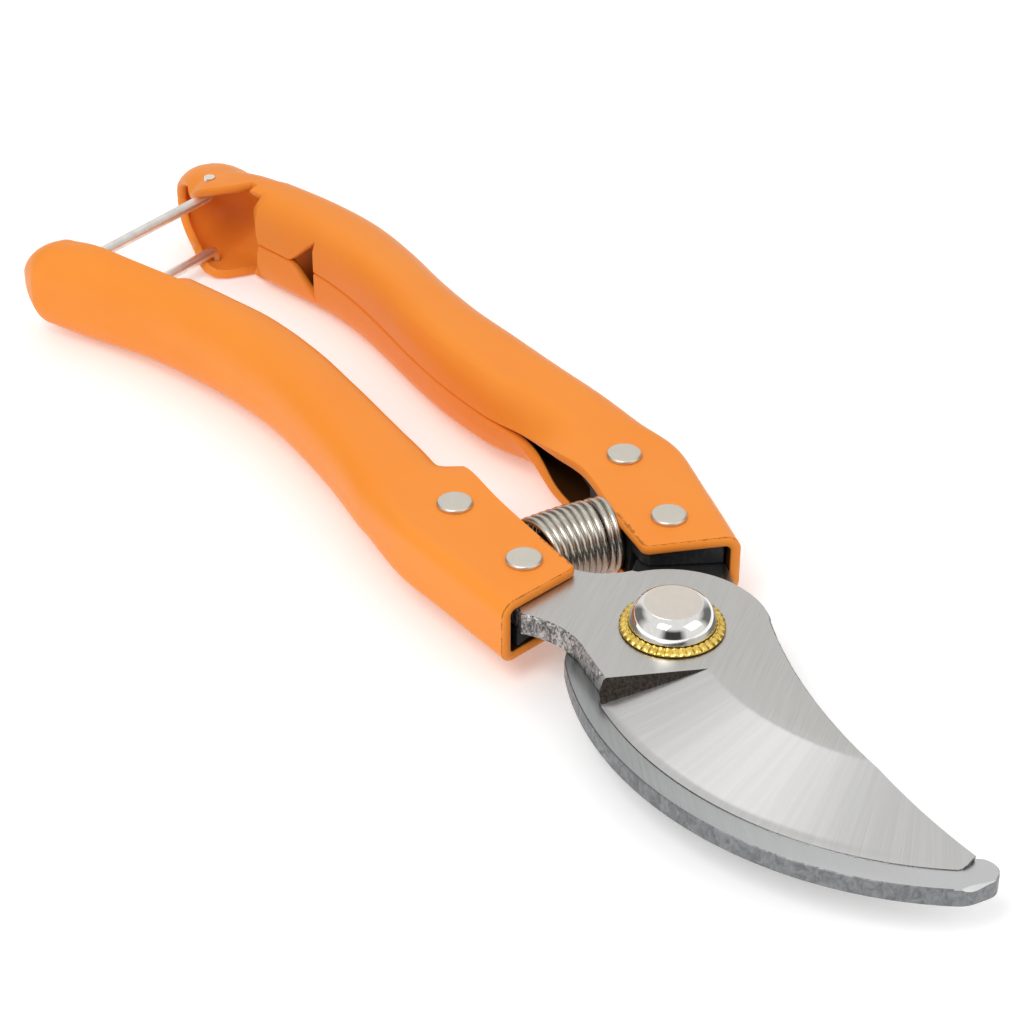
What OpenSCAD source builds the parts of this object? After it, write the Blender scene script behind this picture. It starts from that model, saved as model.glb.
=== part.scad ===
/* [Blades] */
// Thickness of the cutting blade's steel
blade_t = 3.2; // [3.0:0.1:3.4]
// Thickness of the hook blade's steel
hook_t = 2.7; // [2.5:0.1:2.9]
// Radius of the cutting blade's curved edge
edge_r = 47; // [46:0.5:48]
// Width of the ground face, from the edge inwards
grind_w = 14; // [12:0.5:15]
// Thickness left at the cutting edge
edge_t = 0.35; // [0.2:0.05:0.5]
// Radius of the cutting blade round the pivot
hub_r = 13; // [12.5:0.1:13.2]
// Radius of the hook blade's outer curve
hook_r = 47.7; // [47.2:0.1:48.2]
// Chamfer on the hook blade's upper outer rim
hook_chamfer = 0.6; // [0.3:0.1:1]

/* [Pivot] */
// Diameter of the pivot bolt's shank
bolt_d = 8; // [7:0.5:8.5]
// Radial running clearance of the cutting blade on the bolt
bolt_fit = 0.05; // [0.03:0.01:0.1]
// Diameter of the bolt's domed head
head_d = 11.6; // [11:0.2:12]
// Diameter of the flat on top of the head
head_flat_d = 8.2; // [7.4:0.2:8.6]
// Height of the head above its washer
head_h = 2.9; // [2.5:0.1:3.2]
// Outer diameter of the toothed washer
toothed_d = 13.8; // [13:0.2:14.4]
// Thickness of the toothed washer
toothed_t = 0.9; // [0.8:0.1:1.2]
// Number of teeth on the toothed washer
teeth = 36; // [24:2:44]
// Distance across the nut's flats
nut_af = 13; // [12:0.5:14]
// Height of the nut
nut_h = 5; // [4.6:0.1:5.4]
// Thickness of the plain washer under the nut
plain_washer_t = 0.8; // [0.6:0.1:1]
// Diameter of the plain washer
plain_washer_d = 16; // [15:0.5:17]

/* [Handles] */
// Thickness of the pressed sheet with its coating
sheet_t = 1.5; // [1.3:0.1:1.6]
// Half the outer width of the channel that holds a blade
channel_w = 6.4; // [6.2:0.1:6.6]
// Half the height of the grips at their fullest
grip_h = 8.5; // [8.4:0.1:8.6]
// Half the gap left where the rolled edges meet
seam = 0.3; // [0.2:0.1:0.5]
// Angle of each channel to the tool's length
channel_angle = 7.7; // [7.5:0.1:8]
// Distance between the two rivets of a handle
rivet_pitch = 16.3; // [15.5:0.1:17]
// Diameter of a rivet's shank
rivet_d = 3.4; // [3:0.2:3.8]
// Diameter of a rivet's head
rivet_head_d = 5; // [4.6:0.1:5.2]
// Height of a rivet's head
rivet_head_h = 0.75; // [0.6:0.05:0.9]

/* [Spring] */
// Diameter of the spring's wire
wire_d = 1.1; // [0.9:0.05:1.1]
// Outer diameter of the spring
spring_d = 10.8; // [10.2:0.2:11]
// Number of turns
turns = 10; // [8:1:10]

/* [Latch] */
// Diameter of the latch's wire
bail_d = 1.8; // [1.6:0.1:1.9]
// Length from the latch's pivot to its crossbar
bail_l = 27; // [26:0.5:28]
// Height of each leg above and below the blades' plane
bail_h = 5.2; // [5:0.1:5.4]
// Radial running clearance of the wire in the ears
bail_fit = 0.05; // [0.03:0.01:0.1]

/* [Hidden] */
$fn = 64;
shear_z = nut_h + plain_washer_t + hook_t;  // the plane where the two blades meet
channel_h = blade_t + sheet_t + 0.05;        // half the channel's outer height
edge_c = [12.6, edge_r - 14.6];              // centre of the cutting edge's curve
hook_c = [14.4, hook_r - 17.3];              // centre of the hook blade's outer curve
spine_c = [30.8, 84.1];                      // centre of the cutting blade's hollow back
spine_r = 76.7;
channel_mid = [-28, 12.2];                   // midway between a handle's rivets
bail_pivot = [-136.6, -8.4];
bail_angle = -64.9;
hole_fit = 0.05;                             // radial clearance of rivets and nut

// ---- shared helpers; side is -1 for the blade handle and 1 for the hook handle ----

// Points on an arc, both ends included
function arc(c, r, a0, a1, n) = [for (k = [0:n]) let (a = a0 + (a1 - a0) * k / n) c + r * [cos(a), sin(a)]];

// From a channel's own axes (back along it, outwards) to the plan
function from_channel(p, side) = let (a = 180 + channel_angle)
    [channel_mid[0] + p[0] * cos(a) - p[1] * sin(a),
     side * (channel_mid[1] - p[0] * sin(a) - p[1] * cos(a))];

module in_channel(side) translate([channel_mid[0], side * channel_mid[1], 0])
    mirror([0, side > 0 ? 1 : 0, 0]) rotate(180 + channel_angle) children();

module rivet_holes(side) in_channel(side)
    for (x = [-1, 1] * rivet_pitch / 2)
        translate([x, 0, -20]) cylinder(d = rivet_d + 2 * hole_fit, h = 40);

// Flat seats pressed round the holes, so that the rivets' heads lie level
module rivet_seats(side) in_channel(side)
    for (x = [-1, 1] * rivet_pitch / 2, z = [-channel_h - 3, channel_h])
        translate([x, 0, z]) cylinder(d = rivet_head_d + 0.6, h = 3);

module lifted() translate([0, 0, shear_z]) children();

// ---- blades ----

// The tang inside a channel, from its outer front corner round to its inner one
tang = [[-15, 5.7], [10.5, 5.7], [12.2, 5.2], [13.2, 4], [13.2, -1.6], [12.4, -2.8], [11, -3.2],
    [-8.6, -3.2], [-9.4, -3.8], [-9.6, -5.2]];

module cutting_outline() polygon(concat(
    arc([0, 0], hub_r, 72, 170, 14),
    arc([-22.6, 2.5], 9.2, -5, -62, 6),
    [for (k = [len(tang) - 1:-1:0]) from_channel(tang[k], -1)],
    arc([-2.6, -24.4], 12, 136, 80, 6),
    [[5.4, -13.1]],
    arc(edge_c, edge_r, 262, 326, 32),
    [[52.6, 9]],
    arc(spine_c, spine_r, 286, 250.4, 12)));

module hook_outline() polygon(concat(
    [for (p = tang) from_channel(p, 1)],
    arc([0, 0], hub_r + 0.6, 178, 246, 9),
    arc(hook_c, hook_r, 247.5, 329.5, 32),
    arc([53.7, 9.9], 2.2, -30, 160, 8),
    arc([16.6, 35.1], 44, 320, 268.5, 20),
    arc([16, -1.5], 7, 262, 150, 8),
    arc([0, 0], hub_r + 0.1, 50, 100, 8)));

// What is ground away: above a cone about the centre of the edge's curve, up to a steep shoulder
module grind() translate([edge_c[0], edge_c[1], 0]) intersection() {
    slope = (blade_t - edge_t) / grind_w;
    rotate_extrude($fn = 180) polygon([[edge_r - grind_w - 2, blade_t + 2 * slope],
        [edge_r + 9, edge_t - 9 * slope], [edge_r + 9, blade_t + 2 * slope]]);
    translate([9.8 - edge_c[0], -0.4 - edge_c[1], blade_t]) rotate(-19.1)
        rotate([0, -30, 0]) translate([0, -40, -40]) cube([80, 80, 60]);
}

module cutting_blade() color("silver") lifted() difference() {
    linear_extrude(blade_t) cutting_outline();
    grind();
    translate([0, 0, -1]) cylinder(r = bolt_d / 2 + bolt_fit, h = blade_t + 2);
    rivet_holes(-1);
}

module hook_blade() color("darkgray") lifted() difference() {
    translate([0, 0, -hook_t]) linear_extrude(hook_t) hook_outline();
    translate([0, 0, -hook_t - 1]) cylinder(r = bolt_d / 2 + hole_fit, h = hook_t + 2);
    rivet_holes(1);
    intersection() {
        translate([hook_c[0], hook_c[1], 0]) rotate_extrude($fn = 180) polygon([
            [hook_r - hook_chamfer, 0.01], [hook_r + 0.01, -hook_chamfer],
            [hook_r + 3, -hook_chamfer], [hook_r + 3, 1], [hook_r - hook_chamfer, 1]]);
        translate([-3, -25, -2]) cube([65, 32, 4]);
    }
}

// ---- pivot ----

module pivot_bolt() color("gainsboro") lifted() {
    top = blade_t + toothed_t;
    dome_r = head_d / 2 - head_flat_d / 2;
    rotate_extrude() polygon(concat([[0, -shear_z], [bolt_d / 2 - 0.5, -shear_z],
        [bolt_d / 2, -shear_z + 0.5], [bolt_d / 2, top], [head_d / 2, top]],
        [for (a = [0:15:75]) [head_flat_d / 2 + dome_r * cos(a), top + 0.4 + (head_h - 0.4) * sin(a)]],
        [[head_flat_d / 2, top + head_h], [0, top + head_h]]));
}

// A thin ring whose outer part is pressed into radial teeth
module toothed_washer() color("gold") lifted() translate([0, 0, blade_t]) difference() {
    rotate_extrude() polygon([[bolt_d / 2 + hole_fit, 0], [toothed_d / 2 - 0.2, 0], [toothed_d / 2, 0.2],
        [toothed_d / 2, 0.5], [toothed_d / 2 - 0.9, toothed_t], [bolt_d / 2 + hole_fit, toothed_t]]);
    for (k = [1:teeth]) rotate(360 * k / teeth) translate([head_d / 2 + 0.35, 0, toothed_t + 0.05])
        rotate([0, 100, 0]) cylinder(d = 0.8, h = 3, $fn = 24);
}

module plain_washer() color("lightgray") translate([0, 0, nut_h]) difference() {
    cylinder(d = plain_washer_d, h = plain_washer_t);
    translate([0, 0, -1]) cylinder(r = bolt_d / 2 + hole_fit, h = plain_washer_t + 2);
}

module pivot_nut() color("lightgray") difference() {
    intersection() {
        cylinder(d = nut_af / cos(30), h = nut_h, $fn = 6);
        rotate_extrude() polygon([[0, 0], [nut_af / 2 - 0.2, 0], [nut_af / 2 + 1.2, 0.8],
            [nut_af / 2 + 1.2, nut_h], [0, nut_h]]);
    }
    translate([0, 0, -1]) cylinder(r = bolt_d / 2 + hole_fit, h = nut_h + 2);
}

// ---- rivets ----

module rivet(side, end) color("gainsboro") lifted() in_channel(side)
    translate([end * rivet_pitch / 2, 0, 0]) rotate_extrude() polygon([
        [0, -channel_h - rivet_head_h], [rivet_head_d / 2 - 0.4, -channel_h - rivet_head_h],
        [rivet_head_d / 2, -channel_h - rivet_head_h + 0.3], [rivet_head_d / 2, -channel_h],
        [rivet_d / 2, -channel_h], [rivet_d / 2, channel_h], [rivet_head_d / 2, channel_h],
        [rivet_head_d / 2, channel_h + rivet_head_h - 0.3],
        [rivet_head_d / 2 - 0.4, channel_h + rivet_head_h], [0, channel_h + rivet_head_h]]);

module blade_handle_front_rivet() rivet(-1, -1);
module blade_handle_rear_rivet() rivet(-1, 1);
module hook_handle_front_rivet() rivet(1, -1);
module hook_handle_rear_rivet() rivet(1, 1);

// ---- inserts ----

seat_y = -5.6;        // face that the spring bears on, outwards from the rivets' line
spring_x = -2.6;        // place of the spring along the channel

module insert_outline() polygon([[-14.6, 5.6], [11, 5.6], [12.6, 4.4], [12.6, -4], [11.4, -5],
    [-10.6, -5], [-11.9, -4.2]]);

// Moulded block beside the tang, with a full-height seat and a peg for the spring
module insert(side) color([0.1, 0.1, 0.1]) lifted() difference() {
    in_channel(side) union() {
        translate([0, 0, side > 0 ? 0 : -blade_t]) linear_extrude(blade_t)
            insert_outline();
        // the hook blade is thinner, so a thin layer fills in below it
        if (side > 0) translate([0, 0, -blade_t]) linear_extrude(blade_t - hook_t - 0.05) insert_outline();
        translate([-8, seat_y, -blade_t]) cube([15, -3.4 - seat_y, 2 * blade_t]);
        translate([spring_x, seat_y - 2.6, 0]) rotate([-90, 0, 0]) cylinder(d = 5.4, h = 4);
    }
    rivet_holes(side);
}

module blade_handle_insert() insert(-1);
module hook_handle_insert() insert(1);

// ---- handles ----

// One row of a handle: [place along the tool, outer side, inner side, half height, radius of the
// outer corners, radius of the rolled edge, length of lip after the roll, angle of the roll].
// Sides are measured outwards from the tool's middle plane.
function channel_row(x, out, in) = let (mid = channel_mid[1] - (x - channel_mid[0]) * tan(channel_angle))
    [x, mid + out, mid - in, channel_h, 1.6, 1.8, 2.4, 0];
function grip_row(x, out, in, h, roll) = [x, out, in, h, 0.78 * h, 0.58 * h, 0.42 * h - seam, roll];

blade_handle_rows = [
    channel_row(-13.8, 8.3, 5.45), channel_row(-24.5, 8.8, 5.8), channel_row(-35, 9.3, 5.8),
    grip_row(-44.6, 23, 7.7, 5, 8), grip_row(-48.5, 23, 9.3, 5.4, 70),
    grip_row(-58.4, 22.5, 10.7, 5.8, 90), grip_row(-69.4, 22.6, 11.5, 6.4, 90),
    grip_row(-80.4, 23.4, 12.5, 6.9, 90), grip_row(-91.4, 25.6, 14.6, 7.3, 90),
    grip_row(-101.4, 28.8, 18.2, 7.5, 90), grip_row(-110, 32.4, 21.7, 7.6, 90),
    grip_row(-117, 36.1, 25.2, 7.8, 90), grip_row(-123, 39.6, 28.5, 8, 90),
    grip_row(-127.8, 42.8, 30.2, 7.3, 90)];
blade_handle_tip = [-133.8, 41.8];

hook_handle_rows = [
    channel_row(-13.2, 7.3, 5.45), channel_row(-24.5, 8.2, 6.3), channel_row(-35, 8.8, 6.4),
    grip_row(-43.4, 21.4, 5.9, 5.2, 20), grip_row(-52.4, 20.1, 5.8, 5.7, 62),
    grip_row(-61.4, 18.2, 3.8, 6.3, 90), grip_row(-71.4, 16.3, 2.3, 6.9, 90),
    grip_row(-81.4, 14.5, 1.7, 7.3, 90), grip_row(-91.4, 13.6, 1.6, 7.7, 90),
    grip_row(-101.4, 13.4, 1.2, 8, 90), grip_row(-111.4, 12.5, -0.3, 8.2, 90),
    grip_row(-121.4, 9.7, -3.4, 8.4, 90), grip_row(-130.4, 6, -6.5, grip_h, 90)];
hook_handle_end = [[-130.6, 5.9, -13.5, grip_h, 7.2, 5.2, 3, 90],
    [-134.5, 4, -13.5, grip_h, 7.4, 5.2, 3, 90], [-138, 2.1, -12.4, 8.2, 7.8, 6.2, 1.7, 90]];
hook_handle_tip = [-150.4, -7.6];

// Smooth curve through rows of values; t counts rows
function through(v, t) = let (n = len(v) - 1, k = min(floor(t), n - 1), f = t - k,
    a = v[max(k - 1, 0)], b = v[k], c = v[k + 1], d = v[min(k + 2, n)])
    0.5 * (2 * b + (c - a) * f + (2 * a - 5 * b + 4 * c - d) * f * f
        + (3 * b - a - 3 * c + d) * f * f * f);

// The upper half of a section, from the handle's back round to the sheet's edge:
// each point is [outwards, up, and the same of its normal]
function half_section(r) = let (h = r[3], ro = r[4], roll = min(max(r[7], 1), 90),
    bend = r[5] * PI / 2, rho = bend / (roll * PI / 180),
    start = r[2] + rho * sin(roll) + r[6] * cos(roll))
    concat(
        [for (a = [0:22.5:90]) [r[1] - ro + ro * cos(a), h - ro + ro * sin(a), cos(a), sin(a)]],
        [for (k = [0:4]) let (a = roll * k / 4)
            [start - rho * sin(a), h - rho * (1 - cos(a)), -sin(a), cos(a)]],
        [[r[2], h - rho * (1 - cos(roll)) - r[6] * sin(roll), -sin(roll), cos(roll)]]);

function whole_section(r) = let (s = half_section(r))
    concat([for (k = [len(s) - 1:-1:0]) [s[k][0], -s[k][1], s[k][2], -s[k][3]]], s);

// Rings are [outwards, up] with the outer line first and the inner line back
function sheet_ring(r) = let (s = whole_section(r))
    concat([for (p = s) [p[0], p[1]]],
        [for (k = [len(s) - 1:-1:0]) [s[k][0] - sheet_t * s[k][2], s[k][1] - sheet_t * s[k][3]]]);

// The same section shrunk towards a handle's tip: f is the size left outside, g the size inside
function tip_ring(r, tip, f, g) = let (s = whole_section(r), mid = (r[1] + r[2]) / 2,
    centre = mid + (tip - mid) * (1 - f))
    concat([for (p = s) [centre + (p[0] - mid) * f, p[1] * f]],
        [for (k = [len(s) - 1:-1:0]) [centre + (s[k][0] - mid) * g, s[k][1] * g]]);

// A solid through rings of equal length, each [x, ring]; side mirrors it, lean tilts the front
module swept(rings, side, lean) {
    n = len(rings[0][1]);
    points = [for (r = rings) for (p = r[1])
        let (tilt = lean * max(0, (r[0] + 30) / 16) * (p[0] - channel_mid[1]))
        [r[0] + tilt, side * p[0], p[1]]];
    sides = [for (i = [0:len(rings) - 2]) for (k = [0:n - 1]) let (a = i * n + k,
        b = i * n + (k + 1) % n) each [[a, a + n, b + n], [a, b + n, b]]];
    ends = [[for (k = [0:n - 1]) k], [for (k = [n - 1:-1:0]) (len(rings) - 1) * n + k]];
    faces = concat(sides, ends);
    polyhedron(points, side < 0 ? faces : [for (f = faces) [for (k = [len(f) - 1:-1:0]) f[k]]]);
}

// The pressed shell of a handle: smooth rows, then any straight ones, closed at its tip
module shell(rows, end_rows, tip, side, per_row) {
    last = concat(rows, end_rows)[len(rows) + len(end_rows) - 1];
    reach = last[0] - tip[0];
    body = [for (k = [0:per_row * (len(rows) - 1)]) let (r = through(rows, k / per_row))
        [r[0], sheet_ring(r)]];
    end = [for (r = end_rows) [r[0], sheet_ring(r)]];
    dome = [for (a = [22:12:70]) let (f = cos(a)) [last[0] - reach * sin(a),
        tip_ring(last, tip[1], f, max(f - sheet_t / last[3] * (1 + sin(a)), 0.03))]];
    swept(concat(body, end, dome), side, 0.29);
}

// A notch in the rolled edges, wide at x0 and pointed at x1
module edge_notch(x0, x1, half, y) translate([0, y, 0]) rotate([90, 0, 0]) linear_extrude(20)
    polygon([[x0, -half], [x0, half], [x1, 0]]);

module blade_handle() color("darkorange") lifted() difference() {
    shell(blade_handle_rows, [], blade_handle_tip, -1, 3);
    rivet_holes(-1);
    rivet_seats(-1);
    // the open mouth that the latch hooks into
    translate([0, 0, -12]) linear_extrude(24)
        polygon([[-108.3, -15], [-108.3, -25.1], [-117.2, -29.6], [-125.2, -33.6], [-130.7, -36.6],
            [-133, -36.9], [-133.2, -40.9], [-150, -40.9], [-150, -15]]);
}

module hook_handle() color("darkorange") lifted() difference() {
    shell(hook_handle_rows, hook_handle_end, hook_handle_tip, 1, 3);
    rivet_holes(1);
    rivet_seats(1);
    // room for the spring's first turn between the flanges
    in_channel(1) translate([spring_x, seat_y + 0.5, 0]) rotate([90, 0, 0])
        cylinder(d = spring_d + 0.6, h = 4);
    // room under the ears for the latch's legs
    translate([0, 0, -bail_h - bail_d / 2 - 0.2]) linear_extrude(2 * bail_h + bail_d + 0.4)
        polygon([[-137.8, -7], [-137.8, -9.6], [-135, -16], [-128, -16], [-128, -7]]);
    // the open end with its two ears, and the slot where the rolled edges stop
    translate([0, 0, -12]) linear_extrude(24)
        polygon([[-130.2, -20], [-130.2, -2.4], [-131.8, -2.4], [-132.8, -9.6], [-134.4, -11.3],
            [-138.5, -11.2], [-143, -10.3], [-155, -10], [-155, -20]]);
    edge_notch(-130.3, -125.6, 8, -1.5);
    edge_notch(-112.8, -118.6, 5.6, 6);
    translate([bail_pivot[0], bail_pivot[1], -20]) cylinder(r = bail_d / 2 + bail_fit, h = 40);
}

// ---- spring ----

// Coil on an arc, because the two seats are not parallel
module return_spring() color("silver") lifted() {
    mid_r = (spring_d - wire_d) / 2;
    seat = from_channel([spring_x, seat_y], 1);
    bow_r = seat[1] / sin(channel_angle);
    bow_x = seat[0] + bow_r * cos(channel_angle);
    half = channel_angle - asin((wire_d / 2 + 0.08) / bow_r);
    steps = turns * 14;
    around = 6;
    points = [for (i = [0:steps]) let (bow = -half + 2 * half * i / steps, coil = 360 * turns * i / steps,
        out = [-cos(bow), sin(bow), 0], along = [sin(bow), cos(bow), 0],
        ray = out * cos(coil) + [0, 0, sin(coil)])
        for (k = [0:around - 1]) let (a = 360 * k / around)
            [bow_x, 0, 0] + bow_r * out + (mid_r + wire_d / 2 * cos(a)) * ray + wire_d / 2 * sin(a) * along];
    sides = [for (i = [0:steps - 1]) for (k = [0:around - 1]) let (a = i * around + k,
        b = i * around + (k + 1) % around) each [[a, a + around, b + around], [a, b + around, b]]];
    polyhedron(points, concat(sides, [[for (k = [0:around - 1]) k],
        [for (k = [around - 1:-1:0]) steps * around + k]]));
}

// ---- latch ----

ear_bend = 1.15;      // bend radius of the wire where it enters the ears
bar_bend = 2;         // bend radius beside the crossbar

module latch_bail() color("silver") lifted() translate([bail_pivot[0], bail_pivot[1], 0])
    rotate(bail_angle) {
        for (s = [0, 1]) mirror([0, 0, s]) {
            translate([ear_bend, 0, bail_h]) rotate([0, 90, 0])
                cylinder(d = bail_d, h = bail_l - ear_bend - bar_bend);
            translate([0, 0, bail_h + ear_bend])
                cylinder(d = bail_d, h = grip_h - bail_h - ear_bend);
            translate([ear_bend, 0, bail_h + ear_bend]) rotate([90, 0, 0]) rotate(180)
                rotate_extrude(angle = 90) translate([ear_bend, 0]) circle(d = bail_d);
            translate([bail_l - bar_bend, 0, bail_h - bar_bend]) rotate([90, 0, 0])
                rotate_extrude(angle = 90) translate([bar_bend, 0]) circle(d = bail_d);
        }
        translate([bail_l, 0, bar_bend - bail_h]) cylinder(d = bail_d, h = 2 * (bail_h - bar_bend));
    }

cutting_blade();
hook_blade();
blade_handle();
hook_handle();
blade_handle_insert();
hook_handle_insert();
blade_handle_front_rivet();
blade_handle_rear_rivet();
hook_handle_front_rivet();
hook_handle_rear_rivet();
pivot_bolt();
toothed_washer();
plain_washer();
pivot_nut();
return_spring();
latch_bail();
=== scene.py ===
"""Looks of a pair of pruning shears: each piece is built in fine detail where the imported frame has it.

Sizes are in millimetres until a mesh is made. The pivot's axis is Z, the blades point along +X and
the hook blade's handle lies towards +Y. "Outwards" is away from the tool's middle plane, so a
handle's side is -1 for the cutting blade's handle and 1 for the hook blade's.
"""

from math import asin, ceil, cos, floor, hypot, pi, radians, sin, tan

import bmesh
import bpy
from mathutils import Matrix, Vector, kdtree


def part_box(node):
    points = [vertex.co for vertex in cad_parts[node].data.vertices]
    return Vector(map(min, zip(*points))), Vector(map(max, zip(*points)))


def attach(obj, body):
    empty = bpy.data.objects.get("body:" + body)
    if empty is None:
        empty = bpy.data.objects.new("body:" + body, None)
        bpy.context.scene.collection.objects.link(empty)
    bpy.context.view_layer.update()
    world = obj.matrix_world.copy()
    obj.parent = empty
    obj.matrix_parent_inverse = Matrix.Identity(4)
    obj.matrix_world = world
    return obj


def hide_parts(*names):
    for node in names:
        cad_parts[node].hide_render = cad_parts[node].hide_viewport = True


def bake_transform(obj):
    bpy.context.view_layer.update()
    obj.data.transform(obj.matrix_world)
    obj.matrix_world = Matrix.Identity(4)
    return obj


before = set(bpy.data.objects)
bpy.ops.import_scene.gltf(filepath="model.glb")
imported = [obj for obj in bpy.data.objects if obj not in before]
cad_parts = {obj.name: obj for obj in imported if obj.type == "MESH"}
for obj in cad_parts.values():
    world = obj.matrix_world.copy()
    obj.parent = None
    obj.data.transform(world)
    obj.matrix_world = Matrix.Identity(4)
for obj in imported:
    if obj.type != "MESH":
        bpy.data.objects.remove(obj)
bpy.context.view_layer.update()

MM = 0.001

# ---- sizes shared by several pieces ----

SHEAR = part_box("cutting_blade")[0][2] / MM      # height of the plane where the blades meet
BLADE_T = 3.2
HOOK_T = 2.7
EDGE_R = 47
EDGE_C = (12.6, 32.4)
EDGE_T = 0.35
GRIND_W = 14
HUB_R = 13
HOOK_R = 47.7
HOOK_C = (14.4, 30.4)
SPINE_R = 76.7
SPINE_C = (30.8, 84.1)
BOLT_D = 8
HEAD_D = 11.4
HEAD_FLAT_D = 7.5
HEAD_H = 2.9
TOOTHED_D = 13.8
TOOTHED_T = 0.9
TEETH = 40
NUT_AF = 13
NUT_H = 5
WASHER_D = 16
WASHER_T = 0.8
SHEET_T = 1.5
CHANNEL_H = 4.75
CHANNEL_ANGLE = radians(7.7)
CHANNEL_MID = (-28, 12.2)
RIVET_PITCH = 16.3
RIVET_D = 3.4
RIVET_HEAD_D = 5
RIVET_HEAD_H = 0.62
GRIP_H = 8.5
SEAM = 0.3
SPRING_D = 10.8
SPRING_X = -2.6
SEAT_Y = -5.6
WIRE_D = 1.1
TURNS = 10
BAIL_D = 1.8
BAIL_L = 27
BAIL_H = 5.2
BAIL_PIVOT = (-136.6, -8.4)
BAIL_ANGLE = radians(-64.9)
EAR_BEND = 1.15
BAR_BEND = 2


# ---- mesh helpers ----

BROAD_CORNERS = 8       # a face with more corners than this is split into triangles
CLOSE = 0.01            # points nearer than this are one point


def in_scene(name, data):
    """A new object in the scene for a mesh, a lamp or a camera."""
    obj = bpy.data.objects.new(name, data)
    bpy.context.scene.collection.objects.link(obj)
    return obj


def new_object(name, points, faces):
    """A mesh object from points in millimetres."""
    mesh = bpy.data.meshes.new(name)
    mesh.from_pydata([Vector(p) * MM for p in points], [], faces)
    mesh.validate()
    return in_scene(name, mesh)


def modify(obj, kind, **settings):
    """Adds a modifier with these settings."""
    step = obj.modifiers.new("step", kind)
    for name, value in settings.items():
        setattr(step, name, value)


def work_in(obj):
    """Replaces the object's mesh by what its modifiers make of it."""
    graph = bpy.context.evaluated_depsgraph_get()
    done = bpy.data.meshes.new_from_object(obj.evaluated_get(graph))
    old = obj.data
    obj.modifiers.clear()
    obj.data = done
    bpy.data.meshes.remove(old)


def combine(obj, others, operation):
    """Cuts the other solids from the object, joins them to it or keeps what they share."""
    for other in others:
        modify(obj, "BOOLEAN", operation=operation, solver="EXACT", object=other)
    work_in(obj)
    for other in others:
        bpy.data.objects.remove(other)


def round_edges(obj, width, angle):
    """Rounds the edges that are sharper than the angle."""
    modify(obj, "BEVEL", width=width * MM, segments=2, limit_method="ANGLE",
           angle_limit=radians(angle), use_clamp_overlap=False)
    work_in(obj)


def edited(obj, change):
    """Opens the object's mesh for one change."""
    mesh = bmesh.new()
    mesh.from_mesh(obj.data)
    change(mesh)
    mesh.to_mesh(obj.data)
    mesh.free()


def drop_loose(mesh):
    """Removes points that no face uses."""
    loose = [v for v in mesh.verts if not v.link_faces]
    bmesh.ops.delete(mesh, geom=loose, context="VERTS")


def split_broad_faces(mesh):
    """Splits faces of many corners into triangles, so that a hollow outline is filled only inside."""
    broad = [face for face in mesh.faces if len(face.verts) > BROAD_CORNERS]
    bmesh.ops.triangulate(mesh, faces=broad, ngon_method="EAR_CLIP")


def store(obj, name, value_at):
    """Gives every point of the mesh a value that materials can read."""
    values = obj.data.attributes.new(name, "FLOAT", "POINT").data
    for vertex in obj.data.vertices:
        values[vertex.index].value = value_at(vertex)


def smooth(obj, angle):
    """Smooth shading, but sharp over edges that turn by more than the angle."""
    obj.data.shade_smooth()
    obj.data.set_sharp_from_angle(angle=radians(angle))


def dress(obj, angle, body, node, slot, *materials):
    """Shades the piece, gives it its materials and its body, and hides the CAD part it stands for; the
    slot is not used.
    """
    smooth(obj, angle)
    obj.data.materials.clear()
    for material in materials:
        obj.data.materials.append(material)
    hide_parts(node)
    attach(obj, body)
    return obj


def paint_faces(obj, choose):
    """Sets each face's material number from its centre and normal, in millimetres."""
    for face in obj.data.polygons:
        face.material_index = choose(face.center / MM, face.normal)


# ---- plan helpers ----

def arc(centre, radius, start, end, count):
    """Points on an arc, both ends included, with angles in degrees."""
    angles = [radians(start + (end - start) * k / count) for k in range(count + 1)]
    return [(centre[0] + radius * cos(a), centre[1] + radius * sin(a)) for a in angles]


def from_channel(point, side):
    """From a channel's own axes, back along it and outwards, to the plan."""
    a = pi + CHANNEL_ANGLE
    return (CHANNEL_MID[0] + point[0] * cos(a) - point[1] * sin(a),
            side * (CHANNEL_MID[1] - point[0] * sin(a) - point[1] * cos(a)))


def inset(outline, distance):
    """The closed outline moved inwards, with mitred corners. Outlines run anticlockwise."""
    moved = []
    count = len(outline)
    for k in range(count):
        before, here, after = (Vector(outline[(k + d) % count]) for d in (-1, 0, 1))
        a = (here - before).normalized()
        b = (after - here).normalized()
        normal_a, normal_b = Vector((-a.y, a.x)), Vector((-b.y, b.x))
        bisector = normal_a + normal_b
        scale = 2 / max(bisector.length_squared, 0.8)
        moved.append(tuple(here + bisector * scale * distance))
    return moved


def area(outline):
    """Twice the outline's signed area."""
    return sum(a[0] * b[1] - b[0] * a[1] for a, b in zip(outline, outline[1:] + outline[:1]))


def tidy_outline(outline):
    """Anticlockwise, without points that repeat."""
    kept = [p for p, q in zip(outline, outline[1:] + outline[:1])
            if hypot(p[0] - q[0], p[1] - q[1]) > 0.02]
    return kept if area(kept) > 0 else kept[::-1]


def lifted(outline, z):
    return [(x, y, z) for x, y in outline]


def stack(name, rings, closed=False):
    """A solid through rings of equal length, capped at both ends or closed on itself."""
    count, total = len(rings[0]), len(rings)
    points = [p for ring in rings for p in ring]
    faces = []
    for i in range(total if closed else total - 1):
        a, b = i * count, (i + 1) % total * count
        for k in range(count):
            m = (k + 1) % count
            faces.append((a + k, a + m, b + m, b + k))
    if not closed:
        faces += [tuple(range(count))[::-1], tuple(range((total - 1) * count, total * count))]
    return new_object(name, points, faces)


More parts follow.
